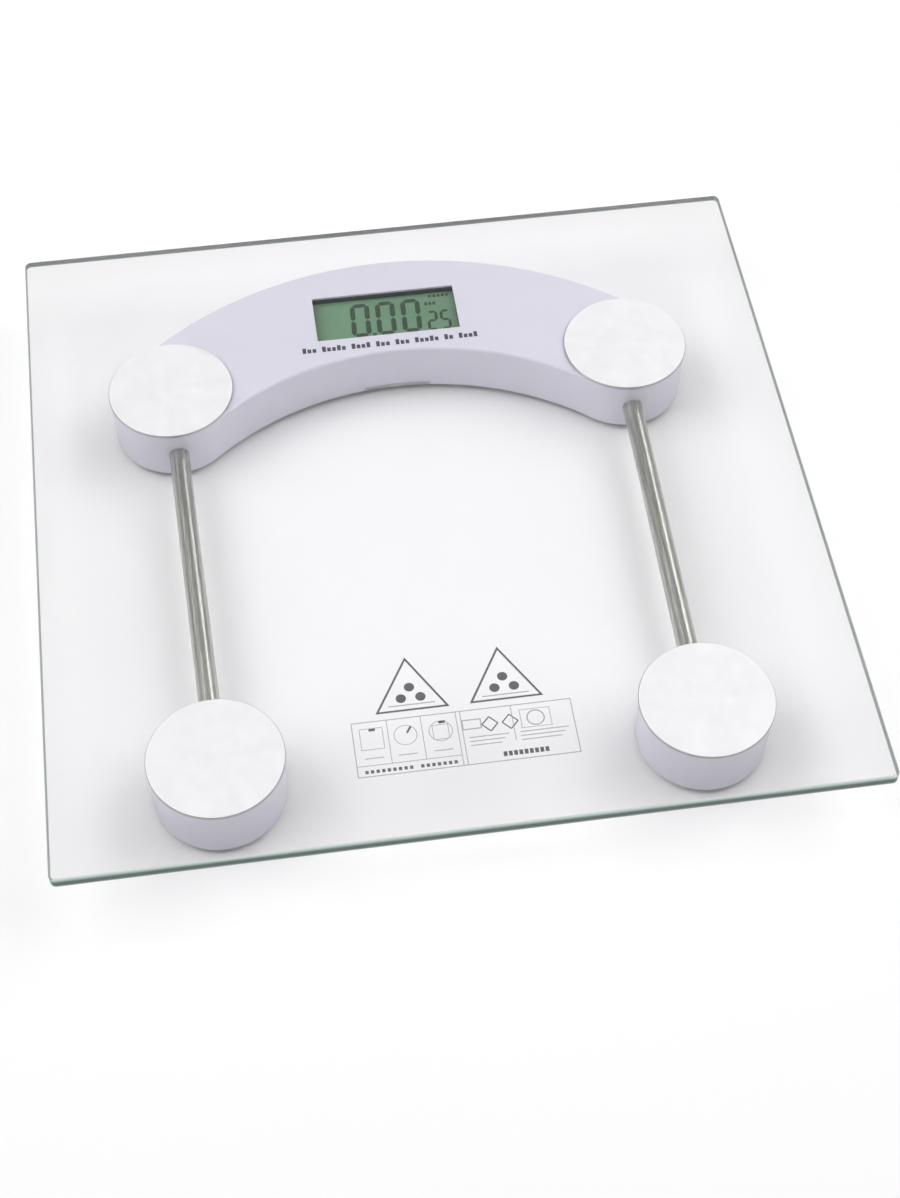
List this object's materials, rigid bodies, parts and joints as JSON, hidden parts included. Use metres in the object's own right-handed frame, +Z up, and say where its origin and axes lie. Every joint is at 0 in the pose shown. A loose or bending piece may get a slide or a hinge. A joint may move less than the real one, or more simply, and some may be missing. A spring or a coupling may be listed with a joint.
{
  "type": "digital bathroom scale",
  "caption": "Square clear glass platform on round pods with load-cell feet, joined by steel tubes and an arched display housing; shows body weight.",
  "frame": {"origin": "on the floor, under the middle of the platform", "axes": "+Z up, +X to the right, +Y towards the display side"},
  "size_m": [0.3, 0.3, 0.032],
  "materials": {
    "glass": "clear, polished, green edge",
    "adhesive": "clear cured glue",
    "disc_metal": "satin",
    "shell_silver": "satin silver",
    "cover_grey": "fine moulded texture",
    "carrier_grey": "fine moulded texture",
    "foot_grey": "fine moulded texture",
    "pad_rubber": "matt",
    "cell_steel": "plated",
    "gauge_coat": "white sealant",
    "tube_steel": "polished",
    "wire_sleeve": "soft sleeve",
    "screw_steel": "zinc plated",
    "lens_clear": "clear",
    "lcd": "grey-green, matt polariser",
    "frame_black": "moulded",
    "contact_rubber": "striped",
    "board": "solder mask",
    "chip_black": "moulded",
    "sensor_bead": "glassy",
    "coin_steel": "plated",
    "contact_brass": "plated",
    "button_grey": "fine moulded texture"
  },
  "bodies": {
    "platform": {"glass_platform": "glass", "adhesive_discs": "adhesive", "cap_disc_front_left": "disc_metal", "cap_disc_front_right": "disc_metal", "cap_disc_rear_left": "disc_metal", "cap_disc_rear_right": "disc_metal", "front_pod_shell_left": "shell_silver", "front_pod_shell_right": "shell_silver", "arch_housing": "shell_silver", "arch_bottom_cover": "cover_grey", "load_cell_carrier_front_left": "carrier_grey", "load_cell_carrier_front_right": "carrier_grey", "load_cell_carrier_rear_left": "carrier_grey", "load_cell_carrier_rear_right": "carrier_grey", "load_cell_front_left": "cell_steel", "load_cell_front_right": "cell_steel", "load_cell_rear_left": "cell_steel", "load_cell_rear_right": "cell_steel", "strain_gauge_coats": "gauge_coat", "connecting_tube_left": "tube_steel", "connecting_tube_right": "tube_steel", "sensor_wires_front_left": "wire_sleeve", "sensor_wires_front_right": "wire_sleeve", "sensor_wires_rear_left": "wire_sleeve", "sensor_wires_rear_right": "wire_sleeve", "platform_screws": "screw_steel", "carrier_screws": "screw_steel", "cover_screws": "screw_steel", "board_screws": "screw_steel", "display_window": "lens_clear", "lcd_panel": "lcd", "lcd_frame": "frame_black", "unit_switch": "frame_black", "zebra_strips": "contact_rubber", "main_circuit_board": "board", "controller_chip": "chip_black", "board_components": "chip_black", "temperature_sensor": "sensor_bead", "coin_cell": "coin_steel", "battery_contact_positive": "contact_brass", "battery_contact_negative": "contact_brass"},
    "battery_door": {"battery_door": "cover_grey"},
    "unit_button": {"unit_button": "button_grey", "switch_plunger": "button_grey"},
    "foot_front_left": {"foot_disc_front_left": "foot_grey", "foot_pad_front_left": "pad_rubber"},
    "foot_front_right": {"foot_disc_front_right": "foot_grey", "foot_pad_front_right": "pad_rubber"},
    "foot_rear_left": {"foot_disc_rear_left": "foot_grey", "foot_pad_rear_left": "pad_rubber"},
    "foot_rear_right": {"foot_disc_rear_right": "foot_grey", "foot_pad_rear_right": "pad_rubber"}
  },
  "joints": [
    {"name": "battery_door_slide", "type": "slide", "parent": "platform", "child": "battery_door", "axis": [0, -1, 0], "range_m": [0, 0.026]},
    {"name": "unit_button_press", "type": "slide", "parent": "platform", "child": "unit_button", "axis": [0, 0, 1], "range_m": [0, 0.0008], "stiffness_N_per_m": 600, "springref_m": -0.0015},
    {"name": "foot_front_left_give", "type": "slide", "parent": "platform", "child": "foot_front_left", "axis": [0, 0, 1], "range_m": [0, 0.0005], "stiffness_N_per_m": 10000, "springref_m": -0.0005, "deforming": ["load_cell_front_left"]},
    {"name": "foot_front_right_give", "type": "slide", "parent": "platform", "child": "foot_front_right", "axis": [0, 0, 1], "range_m": [0, 0.0005], "stiffness_N_per_m": 10000, "springref_m": -0.0005, "deforming": ["load_cell_front_right"]},
    {"name": "foot_rear_left_give", "type": "slide", "parent": "platform", "child": "foot_rear_left", "axis": [0, 0, 1], "range_m": [0, 0.0005], "stiffness_N_per_m": 10000, "springref_m": -0.0005, "deforming": ["load_cell_rear_left"]},
    {"name": "foot_rear_right_give", "type": "slide", "parent": "platform", "child": "foot_rear_right", "axis": [0, 0, 1], "range_m": [0, 0.0005], "stiffness_N_per_m": 10000, "springref_m": -0.0005, "deforming": ["load_cell_rear_right"]}
  ]
}
